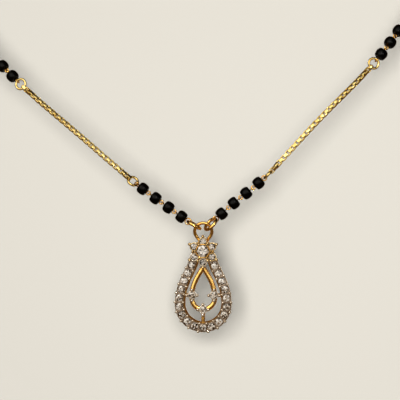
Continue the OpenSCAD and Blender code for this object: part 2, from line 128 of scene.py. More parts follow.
@dataclass
class Shell:
    """Points and faces of closed surfaces, gathered piece by piece, each face with its finish's number."""

    points: list[Array] = field(default_factory=list)
    faces: list[Array] = field(default_factory=list)
    finishes: list[Array] = field(default_factory=list)
    count: int = 0

    def add(self, points: Array, faces: list[Array], finish: int | Array = 0) -> None:
        """Adds a surface.

        Args:
            points: (n, 3) places.
            faces: arrays of corner numbers, one row for each face.
            finish: the material's number, one for all or one for each face.
        """
        total = sum(len(rows) for rows in faces)
        self.points.append(points.reshape(-1, 3))
        self.faces += [rows + self.count for rows in faces]
        self.finishes.append(np.broadcast_to(np.asarray(finish), (total,)))
        self.count += len(self.points[-1])

    def add_grid(self, grid: Array, wrap_u: bool = False, finish: int | Array = 0) -> None:
        """Adds a tube-like grid: rows along u, and points round v, which always closes.

        Args:
            grid: (u, v, 3) places; v turns so that the faces point outwards.
            wrap_u: whether the last row joins the first; else a fan about each end row's mean closes it.
            finish: the material's number, or one for each column v.
        """
        rows, columns = grid.shape[:2]
        number = np.arange(rows * columns).reshape(rows, columns)
        if wrap_u:
            number = np.vstack([number, number[:1]])
        ring = np.roll(number, -1, axis=1)
        faces = [np.stack([number[:-1], ring[:-1], ring[1:], number[1:]], axis=-1).reshape(-1, 4)]
        points = grid.reshape(-1, 3)
        shades = np.tile(np.broadcast_to(np.asarray(finish), (columns,)), len(number) - 1)
        if not wrap_u:
            points = np.vstack([points, grid[0].mean(0), grid[-1].mean(0)])
            first = np.full(columns, rows * columns)
            faces += [
                np.stack([ring[0], number[0], first], axis=1),
                np.stack([number[-1], ring[-1], first + 1], axis=1)]
            shades = np.r_[shades, np.full(2 * columns, shades[0])]
        self.add(points, faces, shades)

    def build(self, name: str, materials: list[Material], smooth: bool = True) -> Object:
        """The gathered surfaces as one object at the origin.

        Args:
            name: the piece's name.
            materials: its materials, in the order of the finishes' numbers.
            smooth: whether the faces are shaded as one soft surface.

        Returns:
            The piece.
        """
        mesh = bpy.data.meshes.new(name)
        rows = [row for faces in self.faces for row in faces.tolist()]
        mesh.from_pydata(np.vstack(self.points).tolist(), [], rows)
        for material in materials:
            mesh.materials.append(material)
        mesh.polygons.foreach_set("material_index", np.concatenate(self.finishes).astype(np.int32))
        mesh.polygons.foreach_set("use_smooth", np.full(len(rows), smooth))
        mesh.update()
        piece = bpy.data.objects.new(name, mesh)
        bpy.context.scene.collection.objects.link(piece)
        return piece


def sweep(path: Array, normal: Array, profile: Array) -> Array:
    """A profile carried along a path: path + across * side + up * normal, with side = normal x tangent.

    Args:
        path: (n, 3) centres.
        normal: (3,) direction of the profile's second axis, made square to the path at each point.
        profile: (m, 2) outline, counterclockwise in across and up.

    Returns:
        The (n, m, 3) grid.
    """
    along = tangents(path)
    up = unit(normal - (normal * along).sum(-1, keepdims=True) * along)
    side = np.cross(up, along)
    return path[:, None] + profile[:, :1] * side[:, None] + profile[:, 1:] * up[:, None]


def lathe(profile: Array, turns: int) -> Array:
    """A profile of (radius, height) turned about the third axis: r cos, r sin and height.

    Args:
        profile: (m, 2) closed outline, counterclockwise in radius and height.
        turns: steps of the full turn.

    Returns:
        The (turns, m, 3) grid, to be wrapped both ways.
    """
    turn = np.arange(turns)[:, None] * 2 * np.pi / turns
    radius, height = profile[:, 0], profile[:, 1] + 0 * turn
    return np.stack([radius * np.cos(turn), radius * np.sin(turn), height], axis=-1)


def placed(grid: Array, centre: Array, axis: Array, across: Array) -> Array:
    """A grid turned and moved: centre plus each coordinate times its new direction.

    Args:
        grid: (..., 3) places.
        centre: where the grid's origin goes.
        axis: the new direction of its third axis.
        across: the direction that its first axis comes as near to as may be.

    Returns:
        The grid in its new place.
    """
    third = unit(axis)
    first = unit(across - (across @ third) * third)
    second = np.cross(third, first)
    return centre + grid[..., :1] * first + grid[..., 1:2] * second + grid[..., 2:] * third


# Reading the frame


def node_points(name: str) -> Array:
    """The distinct points of a CAD node's mesh."""
    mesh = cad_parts[name].data
    flat = np.zeros(len(mesh.vertices) * 3)
    mesh.vertices.foreach_get("co", flat)
    return np.unique(np.round(flat.reshape(-1, 3), 7), axis=0)


def spread(points: Array) -> tuple[Array, Array]:
    """How far points spread and in which directions, widest first: their singular values and vectors."""
    return np.linalg.svd(points - points.mean(0), full_matrices=False)[1:]


def in_order(points: Array) -> Array:
    """The points sorted along their widest spread."""
    return points[np.argsort((points - points.mean(0)) @ spread(points)[1][0])]


def ring_of(name: str) -> tuple[Array, Array]:
    """Centre and unit normal of a flat ring: the mean point, and the direction of least spread."""
    points = node_points(name)
    return points.mean(0), spread(points)[1][2]


def clusters(points: Array, count: int) -> list[Array]:
    """Splits the points into count groups by the widest gaps along their widest spread.

    Args:
        points: (n, 3) places.
        count: how many groups there are.

    Returns:
        Each group's points.
    """
    row = in_order(points)
    along = (row - points.mean(0)) @ spread(points)[1][0]
    return np.split(row, np.sort(np.argsort(np.diff(along))[-(count - 1):]) + 1)


# Finishes


def linear(colour: str) -> tuple[float, float, float, float]:
    """An sRGB hex colour as linear red, green, blue and alpha."""
    code = np.array([int(colour[i:i + 2], 16) for i in (1, 3, 5)]) / 255
    value = np.where(code <= 0.04045, code / 12.92, ((code + 0.055) / 1.055) ** 2.4)
    return (*map(float, value), 1.0)


def add_node(tree: Tree, kind: str, settings: dict, links: dict | None = None) -> Node:
    """Adds a shader node with its settings and links.

    Args:
        tree: the material's or world's node tree.
        kind: the node's type, without the ShaderNode that they all begin with.
        settings: socket values by name or number, and the node's own properties by name.
        links: for each input socket the output that feeds it, or a node, which stands for its first one.

    Returns:
        The node.
    """
    node = tree.nodes.new(f"ShaderNode{kind}")
    for key, value in settings.items():
        if isinstance(key, int) or key in node.inputs:
            node.inputs[key].default_value = value
        else:
            setattr(node, key, value)
    for key, source in (links or {}).items():
        tree.links.new(source.outputs[0] if isinstance(source, Node) else source, node.inputs[key])
    return node


def mottle(tree: Tree, size_mm: float, edges: tuple[float, float], colours: tuple[str, str]) -> Socket:
    """A colour that changes softly from patch to patch.

    Args:
        tree: the material's node tree.
        size_mm: the patches' size.
        edges: the values of the noise at which each colour is reached.
        colours: the two sRGB hex colours.

    Returns:
        The socket that gives the colour.
    """
    place = add_node(tree, "TexCoord", {})
    cloud = add_node(
        tree, "TexNoise", {"Scale": 1 / (size_mm * MM), "Detail": 2.0}, {"Vector": place.outputs["Object"]})
    patch = add_node(tree, "MapRange", {"From Min": edges[0], "From Max": edges[1]}, {"Value": cloud})
    both = {"data_type": "RGBA", 6: linear(colours[0]), 7: linear(colours[1])}
    return add_node(tree, "Mix", both, {0: patch}).outputs[2]


@dataclass(frozen=True)
class Finish:
    """How a surface was made, and the nodes that paint it so."""

    name: str

    def paint(self, tree: Tree) -> Node:
        """Builds the finish's nodes.

        Args:
            tree: the new material's empty tree.

        Returns:
            The shader that the material shows.
        """
        raise NotImplementedError

    def material(self) -> Material:
        """A new material of this finish."""
        made = bpy.data.materials.new(self.name)
        made.use_nodes = True
        made.node_tree.nodes.clear()
        add_node(made.node_tree, "OutputMaterial", {}, {"Surface": self.paint(made.node_tree)})
        return made


@dataclass(frozen=True)
class Metal(Finish):
    """Gold alloy, cast, drawn or rolled and then polished by hand, which leaves faint soft waves."""

    colour: str
    shade: str
    roughness: float
    wave_mm: float = 0.45
    wave_height_mm: float = 0.012
    wave_strength: float = 0.6
    brightest: float = 0.75
    dullest: float = 1.35

    def paint(self, tree: Tree) -> Node:
        """Metal whose colour, roughness and surface vary a little at the scale of the polishing waves."""
        place = add_node(tree, "TexCoord", {})
        waves = add_node(
            tree, "TexNoise", {"Scale": 1 / (self.wave_mm * MM), "Detail": 3.0, "Roughness": 0.55},
            {"Vector": place.outputs["Object"]})
        tint = mottle(tree, 3 * self.wave_mm, (0.4, 0.7), (self.colour, self.shade))
        low, high = self.roughness * self.brightest, self.roughness * self.dullest
        ends = {"From Min": 0.3, "From Max": 0.7, "To Min": low, "To Max": high}
        polish = add_node(tree, "MapRange", ends, {"Value": waves})
        relief = add_node(
            tree, "Bump", {"Strength": self.wave_strength, "Distance": self.wave_height_mm * MM},
            {"Height": waves})
        return add_node(
            tree, "BsdfPrincipled", {"Metallic": 1.0},
            {"Base Color": tint, "Roughness": polish, "Normal": relief})


@dataclass(frozen=True)
class Glass(Finish):
    """Pressed glass, fire polished."""

    colour: str
    shade: str
    roughness: float
    ior: float
    patch_mm: float

    def paint(self, tree: Tree) -> Node:
        """A clear gloss over a body whose colour changes softly from patch to patch."""
        tint = mottle(tree, self.patch_mm, (0.35, 0.65), (self.colour, self.shade))
        return add_node(
            tree, "BsdfPrincipled", {"Roughness": self.roughness, "IOR": self.ior}, {"Base Color": tint})


@dataclass(frozen=True)
class CutStone(Finish):
    """A white stone cut with facets: each face's colour is a painted reflection of what the pavilion sends back,
    light or dark.
    """

    # Colours of the painted light, from painted shade at 0 to painted highlight at 1.
    tones: tuple = ((0.0, "#140c06"), (0.35, "#5f4a38"), (0.6, "#c8b7a2"), (1.0, "#ffffff"))
    roughness: float = 0.03
    ior: float = 2.2
    cloud_mm: float = 0.35
    cloud_shift: float = 0.15

    def paint(self, tree: Tree) -> Node:
        """Painted light and shade: each facet's painted value, shifted a little by clouds inside the stone,
        coloured by the ramp under a hard gloss.
        """
        fire = add_node(tree, "Attribute", {"attribute_name": "fire"})
        place = add_node(tree, "TexCoord", {})
        cloud = add_node(
            tree, "TexNoise", {"Scale": 1 / (self.cloud_mm * MM), "Detail": 1.0},
            {"Vector": place.outputs["Object"]})
        ends = {"From Min": 0.3, "From Max": 0.7, "To Min": -self.cloud_shift, "To Max": self.cloud_shift}
        shift = add_node(tree, "MapRange", ends, {"Value": cloud})
        total = add_node(tree, "Math", {"operation": "ADD"}, {0: fire.outputs["Fac"], 1: shift})
        ramp = add_node(tree, "ValToRGB", {}, {0: total})
        stops = ramp.color_ramp.elements
        stops[0].position, stops[1].position = self.tones[0][0], self.tones[-1][0]
        for position, _ in self.tones[1:-1]:
            stops.new(position)
        for stop, (_, colour) in zip(stops, self.tones):
            stop.color = linear(colour)
        return add_node(
            tree, "BsdfPrincipled", {"Roughness": self.roughness, "IOR": self.ior}, {"Base Color": ramp})


@dataclass(frozen=True)
class Paper(Finish):
    """Matt seamless paper, which shows the shadows near the pendant and glows plain and pale further out.

    Only the camera sees that. Every other ray meets a glow that is pale behind the pendant and dim further
    aside, so that the metal has light and dark to mirror. From its back the paper is clear.
    """

    middle: tuple[float, float, float]
    grey: str = "#3e3e3e"
    dim: str = "#6b5334"
    glow: float = 0.03
    shade_edges: tuple[float, float] = (85 * MM, 140 * MM)
    mirror_edges: tuple[float, float] = (50 * MM, 170 * MM)

    def paint(self, tree: Tree) -> Node:
        """Lit paper, plain glow, mirrored glow and clear back, mixed by distance, kind of ray and side."""
        place = add_node(tree, "TexCoord", {})
        away = add_node(
            tree, "VectorMath", {"operation": "DISTANCE", 1: self.middle}, {0: place.outputs["Object"]})
        far, aside = (
            add_node(
                tree, "MapRange", {"interpolation_type": "SMOOTHSTEP", "From Min": low, "From Max": high},
                {"Value": away.outputs["Value"]})
            for low, high in (self.shade_edges, self.mirror_edges))
        matt = add_node(tree, "BsdfDiffuse", {"Color": linear(self.grey)})
        glow = add_node(tree, "Emission", {"Color": linear(PALE), "Strength": self.glow})
        lit = add_node(tree, "AddShader", {}, {0: matt, 1: glow})
        plain = add_node(tree, "Emission", {"Color": linear(PALE), "Strength": 1.0})
        shown = add_node(tree, "MixShader", {}, {0: far, 1: lit, 2: plain})
        tone = add_node(tree, "Mix", {"data_type": "RGBA", 6: linear(PALE), 7: linear(self.dim)}, {0: aside})
        mirrored = add_node(tree, "Emission", {"Strength": 1.0}, {"Color": tone.outputs[2]})
        seen = add_node(tree, "LightPath", {}).outputs["Is Camera Ray"]
        front = add_node(tree, "MixShader", {}, {0: seen, 1: mirrored, 2: shown})
        back = add_node(tree, "NewGeometry", {}).outputs["Backfacing"]
        clear = add_node(tree, "BsdfTransparent", {})
        return add_node(tree, "MixShader", {}, {0: back, 1: front, 2: clear})


# Cast and drawn 18 carat gold, polished by hand: warm, with sharp lights that waver a little.
YELLOW_GOLD = Metal("polished_yellow_gold", "#f1c876", "#cf984a", 0.15)
# Rolled gold strip, straight from bright rollers: paler and flatter than the casting, so that each link flashes.
CHAIN_GOLD = Metal("rolled_chain_gold", "#f2da92", "#c6a252", 0.14, wave_mm=0.3, wave_height_mm=0.006)
# The strip's inner side and the corner beside it, in painted shade: dark brown and dull, so the slots between
# the links read dark.
PAINTED_SHADE_GOLD = Metal("painted_shade_inside_links", "#4a2f14", "#2c1b0b", 0.4, wave_mm=0.3)
# Rhodium plate on the claws and cups of white stones: near white, warm from the gold beneath, and very glossy.
WHITE_RHODIUM = Metal("rhodium_plate_on_claws", "#f6eee2", "#dccbb4", 0.10)
# The same plate with painted shade down between the stones: a dusky rose grey.
PAINTED_SHADE_WHITE = Metal("rhodium_plate_painted_shade_between_stones", "#a39282", "#6a594a", 0.25, wave_mm=0.3)
# Plate worn thin over the gold of the flower: cream at the claws' tops.
THIN_WHITE = Metal("thin_rhodium_over_gold", "#ecd3a0", "#b8955c", 0.16)
# Pressed black glass, fire polished: a deep black body with one small soft light on each bead.
BLACK_GLASS = Glass("fire_polished_black_glass", "#010101", "#040302", 0.12, 1.18, 1.5)
# White stones cut by machine with flat facets: each facet is a small mirror, with painted light and dark side by
# side in its colour.
CUT_STONE = CutStone("cut_white_stone")


# The pendant


def stand(grid: Array) -> Array:
    """From the pendant's lying drawing to the frame: X stays, Y goes up and Z comes forwards."""
    return HOOK + np.stack([grid[..., 0], -grid[..., 2], grid[..., 1]], axis=-1)


@dataclass
class Pendant:
    """The pendant, drawn lying down: X across, Y up the pendant from the bail's top wire, Z to the viewer."""

    band_r: float = 4.8 * MM
    band_drop: float = 15.45 * MM
    band_pulls: tuple = ((0, 0.46), (0.055, -0.3))  # shares of the flank's height, at its foot and top
    band_steps: int = 561
    band_w: float = 1.7 * MM
    band_top_w: float = 1.6 * MM
    band_t: float = 1.3 * MM
    band_corner: float = 0.16 * MM
    band_scallop: float = 0.035 * MM
    top_columns: int = 25
    ledge_w: float = 0.35 * MM
    inner_wall: tuple = ((0.05, 0.25), (0.4, 0.5), (0.8, 0.7), (1.0, 0.8), (1.0, 0.95))  # shares: in, down
    stones_a_side: int = 9
    band_stone_d: float = 1.45 * MM
    seat_clear: float = 0.02 * MM
    seat_slope: float = 0.8
    seat_reach: float = 0.42 * MM
    flower_drop: float = 5.56 * MM
    petals_lower: float = 0.2 * MM
    centre_stone_d: float = 2.4 * MM
    centre_rise: float = 0.7 * MM
    centre_wall: float = 0.25 * MM
    petal_stone_d: float = 1.3 * MM
    petal_orbit: float = 2.1 * MM
    petal_rise: float = 0.3 * MM
    petal_wall: float = 0.2 * MM
    white_petals: tuple[int, ...] = (2, 3)
    flower_painted_light_shift: float = -0.1
    drop_r: float = 2.3 * MM
    drop_drop: float = 11.8 * MM
    drop_pulls: tuple = ((0, 0.47), (0.16, -0.27))
    drop_steps: int = 220
    drop_w: float = 1.0 * MM
    drop_t: float = 0.9 * MM
    drop_clear: float = 0.4 * MM
    accent_stone_d: float = 1.4 * MM
    accent_lift: float = 0.6 * MM
    accent_rise: float = 0.1 * MM
    accent_wall: float = 0.14 * MM
    bridge_w: float = 0.75 * MM
    bridge_t: float = 0.8 * MM
    rod_fullness: float = 2.5
    overlap: float = 0.3 * MM
    claw_d: float = 0.56 * MM
    tip_claw_d: float = 0.64 * MM
    claw_rise: float = 0.38 * MM
    claw_inset: float = 0.03 * MM
    claw_clear: float = 0.05 * MM
    claw_foot: float = 0.3 * MM
    band_claw_foot: float = 0.2 * MM
    centre_claw_foot: float = 0.4 * MM
    gap_claw_out: float = 0.25 * MM
    seat_gap: float = 0.06 * MM
    bail_r: float = 1.72 * MM
    bail_h: float = 4.6 * MM
    bail_wire_d: float = 0.66 * MM
    bail_lean: float = 8.0
    front_offset: float = 0.12 * MM
    cup_inset: float = 0.05 * MM
    cup_clear: float = 0.015 * MM
    cup_foot_h: float = 0.15 * MM
    plate_inset: float = 0.02 * MM
    plate_t: float = 0.5 * MM
    plate_corner: float = 0.08 * MM
    shell: Shell = field(default_factory=Shell)

    def __post_init__(self) -> None:
        """Works out the heights, the middles and the two outlines."""
        self.front = self.band_t / 2 - self.front_offset
        self.back = self.front - self.band_t
        self.girdle = self.front + self.seat_gap
        self.flower = np.array([0, -self.flower_drop])
        self.petals = self.flower - [0, self.petals_lower]
        self.petal_seats = self.petals + polar(90 + 60 * np.arange(6), self.petal_orbit)
        lower_petal = self.petals + polar(np.array([-30]), self.petal_orbit)[0]
        band_centre = self.flower - [0, self.band_drop - self.band_r]
        self.band_path = self.both_halves(
            self.half_drop(band_centre, self.band_r, lower_petal, *self.band_pulls), self.band_steps)
        drop_centre = self.flower - [0, self.drop_drop - self.drop_r]
        drop_top = self.petals - [0, self.petal_orbit + self.petal_stone_d / 2 + self.drop_clear]
        self.drop_path = self.both_halves(
            self.half_drop(drop_centre, self.drop_r, drop_top, *self.drop_pulls), self.drop_steps)
        reach = np.sqrt(self.drop_r**2 - self.accent_lift**2)
        self.accent_seats = drop_centre + np.array(
            [[-reach, self.accent_lift], [reach, self.accent_lift], [0, -self.drop_r]])
        steps = np.linalg.norm(np.diff(self.band_path, axis=0), axis=1)
        self.band_s = np.r_[0, np.cumsum(steps)] - steps.sum() / 2
        self.pitch = steps.sum() / 2 / (self.stones_a_side + 1)

    @staticmethod
    def half_drop(centre: Array, radius: float, top: Array, low: tuple, high: tuple) -> Array:
        """A drop's right half from its bottom: a quarter circle, then a cubic Bezier curve up to the top.

        Args:
            centre: middle of the round lower end.
            radius: radius of that end.
            top: where the half ends.
            low: the curve's pull at its foot, as shares of its height.
            high: the curve's pull at its top, likewise.

        Returns:
            The outline's points.
        """
        arc = centre + polar(np.linspace(-90, 0, 60), radius)
        start = arc[-1]
        height = top[1] - start[1]
        t = np.linspace(0, 1, 120)[1:, None]
        flank = ((1 - t) ** 3 * start + 3 * (1 - t) ** 2 * t * (start + height * np.array(low))
                 + 3 * (1 - t) * t**2 * (top + height * np.array(high)) + t**3 * top)
        return np.vstack([arc, flank])

    @staticmethod
    def both_halves(half: Array, count: int) -> Array:
        """The left half downwards and the right half upwards, at equal steps."""
        return resample(np.vstack([(half * [-1, 1])[::-1], half[1:]]), count)

    def on_band(self, s: Array, out: Array) -> Array:
        """Points beside the band's middle line: the point at s plus out times the line's normal.

        Args:
            s: distances from the band's bottom.
            out: how far each point lies to the outer side.

        Returns:
            The (..., 2) points.
        """
        place = read_off(s, self.band_s, self.band_path)
        t = read_off(s, self.band_s, tangents(self.band_path))
        return place + np.asarray(out)[..., None] * np.stack([t[..., 1], -t[..., 0]], axis=-1)

    def band_width(self, s: Array) -> Array:
        """Full round the lower end, then narrowing evenly to the flower."""
        arc = np.pi / 2 * self.band_r
        share = np.clip((np.abs(s) - arc) / (self.band_s[-1] - arc), 0, 1)
        return self.band_w + (self.band_top_w - self.band_w) * share

    def add_band(self) -> None:
        """The band: a strip with rounded edges whose top sinks into a cone at each stone.

        The top's height is the front less a cone's depth, which falls evenly from the seat's rim to its
        middle. The strip's sides bulge a little at each stone and draw in at the claws.
        """
        s, corner = self.band_s[:, None], self.band_corner
        half = self.band_width(s) / 2
        scallop = self.band_scallop * np.cos(2 * np.pi * s / self.pitch)
        out = (half + scallop) * np.linspace(-1, 1, self.top_columns)
        away = np.hypot((s / self.pitch - np.round(s / self.pitch)) * self.pitch, out)
        seat_r = self.band_stone_d / 2 + self.seat_clear
        seated = np.abs(s) < (self.stones_a_side + 0.5) * self.pitch
        depth = np.where(seated, self.seat_slope * np.clip(seat_r - away, 0, self.seat_reach), 0)
        edge = np.clip((np.abs(out) - (half - corner)) / corner, 0, 1)
        top = self.front - depth - corner * (1 - np.sqrt(1 - edge**2))
        wall_in, wall_down = np.array(self.inner_wall).T
        under = np.hstack([
            -half - self.ledge_w * wall_in,
            -half - self.ledge_w * 0.9, np.zeros_like(half), half - corner / 2, half])
        under_z = np.r_[
            self.front - corner - (self.band_t - corner) * wall_down,
            self.back + np.array([0, 0, 0, corner / 2])]
        out = np.hstack([out, under[:, ::-1]])
        height = np.hstack([top, np.broadcast_to(under_z[::-1], under.shape)])
        grid = np.concatenate([self.on_band(s + 0 * out, out), height[..., None]], axis=-1)
        # The band's top, its seats and the rims between the stones, has the painted shade; its walls are gold.
        coat = np.where(np.arange(grid.shape[1]) < self.top_columns - 1, Coat.SHADED, Coat.GOLD)
        self.shell.add_grid(stand(grid[:, ::-1]), finish=coat[::-1])

    def add_rod(self, path: Array, width: float, height: float) -> None:
        """A rounded gold bar along a flat path, halfway between front and back."""
        flat = np.column_stack([path, np.full(len(path), (self.front + self.back) / 2)])
        grid = sweep(flat, NORMAL, rounded_bar(width, height, self.rod_fullness, 20))
        self.shell.add_grid(stand(grid), finish=Coat.GOLD)

    def add_lathe(self, centre: Array, profile: Array, turns: int, coat: Coat) -> None:
        """A turned closed profile that stands on the drawing's plane at a centre."""
        self.shell.add_grid(stand(lathe(profile, turns) + [*centre, 0]), wrap_u=True, finish=coat)

    def add_cup(self, centre: Array, stone_d: float, rise: float, wall: float, coat: Coat) -> None:
        """A cup for a stone: an upright wall with a rounded rim and a cone inside down to a hole.

        Args:
            centre: its middle in the drawing.
            stone_d: the stone's diameter.
            rise: how far the rim stands over the front.
            wall: the wall's thickness.
            coat: its finish.
        """
        r_out, r_in, r_hole = stone_d / 2 + wall, stone_d / 2 + self.cup_clear, stone_d / 4
        base, top, rim = self.back + self.cup_inset, self.front + rise, wall / 2
        crown = [r_out - rim, top - rim * 0.6] + polar(np.linspace(0, 180, 9), rim) * [1, 0.6]
        seat = [[r_in, top - 0.1 * wall - rim * 0.5], [r_hole, top - (r_in - r_hole) * 0.95], [r_hole, base]]
        foot = [[r_out * 0.9, base], [r_out, base + self.cup_foot_h]]
        self.add_lathe(centre, np.vstack([foot, crown, seat]), 40, coat)

    def add_back_plate(self) -> None:
        """The round plate behind the flower: a flat ring round the centre stone's hole, with a rounded edge."""
        corner, edge = self.plate_corner, self.petal_orbit
        hub = self.centre_stone_d / 4 - self.seat_clear
        bottom = self.back + self.plate_inset
        top = bottom + self.plate_t
        bend = np.linspace(-90, 90, 9)
        rise = np.where(bend > 0, top - corner, bottom + corner)
        rim = np.column_stack([np.full(9, edge - corner), rise]) + polar(bend, corner)
        flat, near = edge - 2 * corner, hub + corner
        self.add_lathe(self.flower, np.vstack([
            [[hub, bottom + corner], [near, bottom], [flat, bottom]], rim,
            [[flat, top], [near, top], [hub, top - corner]]]), 60, Coat.GOLD)

    def add_claws(self, places: Array, foot: float, girdle: float, ball_d: float, coat: Coat) -> None:
        """Claws, each a post that swells into a ball, closed below, with widths as shares of the ball's radius.

        Args:
            places: their middles in the drawing.
            foot: how far they start over the back.
            girdle: height of the girdle that they hold.
            ball_d: the balls' diameter.
            coat: their finish.
        """
        r, base = ball_d / 2, self.back + foot
        top = girdle + self.claw_rise - r
        post = [[0.01 * r, base], [0.8 * r, base], [0.72 * r, top - 0.9 * r]]
        ball = [0, top] + polar(np.linspace(-50, 88, 8), r)
        profile = np.vstack([post, ball, [[0.01 * r, top + r]]])
        for place in places:
            self.add_lathe(place, profile, 16, coat)

    def add_bail(self) -> None:
        """The bail: a round wire over the end links and two straight limbs that meet behind the flower."""
        rest = self.bail_h - self.bail_r
        turn = np.degrees(np.arccos(self.bail_r / rest))
        arc = polar(np.linspace(-90 + turn, 270 - turn, 60), self.bail_r) - [0, self.bail_r]
        tip = np.array([0, -self.bail_r - rest])
        share = np.linspace(1, 0.06, 12)[:, None]
        right = tip + (arc[0] - tip) * share[::-1]
        left = tip + (arc[-1] - tip) * share
        flat = resample(np.vstack([right, arc[1:-1], left]), 120)
        lean = np.radians(self.bail_lean)
        path = np.column_stack([flat[:, 0], flat[:, 1] * np.cos(lean), flat[:, 1] * np.sin(lean)])
        normal = np.array([0, -np.sin(lean), np.cos(lean)])
        self.shell.add_grid(stand(sweep(path, normal, circle(self.bail_wire_d / 2, 16))), finish=Coat.GOLD)

    def add_all_claws(self) -> None:
        """Pairs of claws between the band's stones, and rings of them round the other stones."""
        claw, tip, clear = self.claw_d, self.tip_claw_d, self.claw_clear
        s = (np.arange(self.stones_a_side) + 0.5) * self.pitch
        half = self.band_width(s) / 2 - self.claw_inset
        for sign, edge in ((-1, -1), (-1, 1), (1, -1), (1, 1)):
            places = self.on_band(sign * s, edge * half)
            self.add_claws(places, self.band_claw_foot, self.girdle, claw, Coat.WHITE)
        raised, sixths = self.girdle + self.petal_rise, 60 * np.arange(6)
        tip_r = self.petal_orbit + (self.petal_stone_d + tip) / 2 + clear
        self.add_claws(self.petals + polar(90 + sixths, tip_r), self.claw_foot, raised, tip, Coat.THIN)
        gap_r = self.petal_orbit * np.cos(np.radians(30)) + self.gap_claw_out
        self.add_claws(self.petals + polar(120 + sixths, gap_r), self.claw_foot, raised, claw, Coat.THIN)
        around = self.flower + polar(120 + sixths, (self.centre_stone_d + claw) / 2 + clear)
        self.add_claws(around, self.centre_claw_foot, self.girdle + self.centre_rise, claw, Coat.THIN)
        cross = polar(90 * np.arange(4), (self.accent_stone_d + tip) / 2 + clear)
        for seat in self.accent_seats:
            self.add_claws(seat + cross, self.claw_foot, self.girdle + self.accent_rise, tip, Coat.WHITE)

    def add_bridges(self) -> None:
        """The two side bridges and the lower post that tie the inner drop to the band."""
        _, (inner, level), (_, low) = self.accent_seats
        inner += self.overlap
        reach = self.band_r - self.band_w / 2 + self.overlap
        foot = self.flower[1] - self.band_drop + self.band_w / 2 - self.overlap
        ends = np.array([
            [[-inner, level], [-reach, level]], [[inner, level], [reach, level]],
            [[0, low - self.overlap], [0, foot]]])
        for pair in ends:
            self.add_rod(resample(pair, 9), self.bridge_w, self.bridge_t)

    def stones(self) -> list[Stones]:
        """The four kinds of stone, with their girdles a little above their seats."""
        k = np.arange(1, self.stones_a_side + 1) * self.pitch
        band = self.on_band(np.r_[0, -k, k], np.zeros(2 * self.stones_a_side + 1))
        tone, high = self.flower_painted_light_shift, self.girdle
        return [
            Stones("centre_stone", self.flower, self.centre_stone_d, high + self.centre_rise, tone),
            Stones("petal_stones", self.petal_seats, self.petal_stone_d, high + self.petal_rise, tone),
            Stones("band_stones", band, self.band_stone_d, high),
            Stones("accent_stones", self.accent_seats, self.accent_stone_d, high + self.accent_rise)]

    def build(self, finishes: list[Material]) -> None:
        """The pendant's metal as one piece that stands for the frame's node.

        Args:
            finishes: the materials in the order of Coat.
        """
        self.add_band()
        self.add_rod(self.drop_path, self.drop_w, self.drop_t)
        for petal, seat in enumerate(self.petal_seats):
            coat = Coat.WHITE if petal in self.white_petals else Coat.THIN
            self.add_cup(seat, self.petal_stone_d, self.petal_rise, self.petal_wall, coat)
        self.add_cup(self.flower, self.centre_stone_d, self.centre_rise, self.centre_wall, Coat.GOLD)
        for seat in self.accent_seats:
            self.add_cup(seat, self.accent_stone_d, self.accent_rise, self.accent_wall, Coat.WHITE)
        self.add_back_plate()
        self.add_bridges()
        self.add_all_claws()
        self.add_bail()
        piece = self.shell.build("pendant_metal", finishes)
        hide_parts("pendant_frame")
        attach(piece, "pendant")
        LOG.info("pendant_metal: %d stones a side, %d petals", self.stones_a_side, len(self.petal_seats))


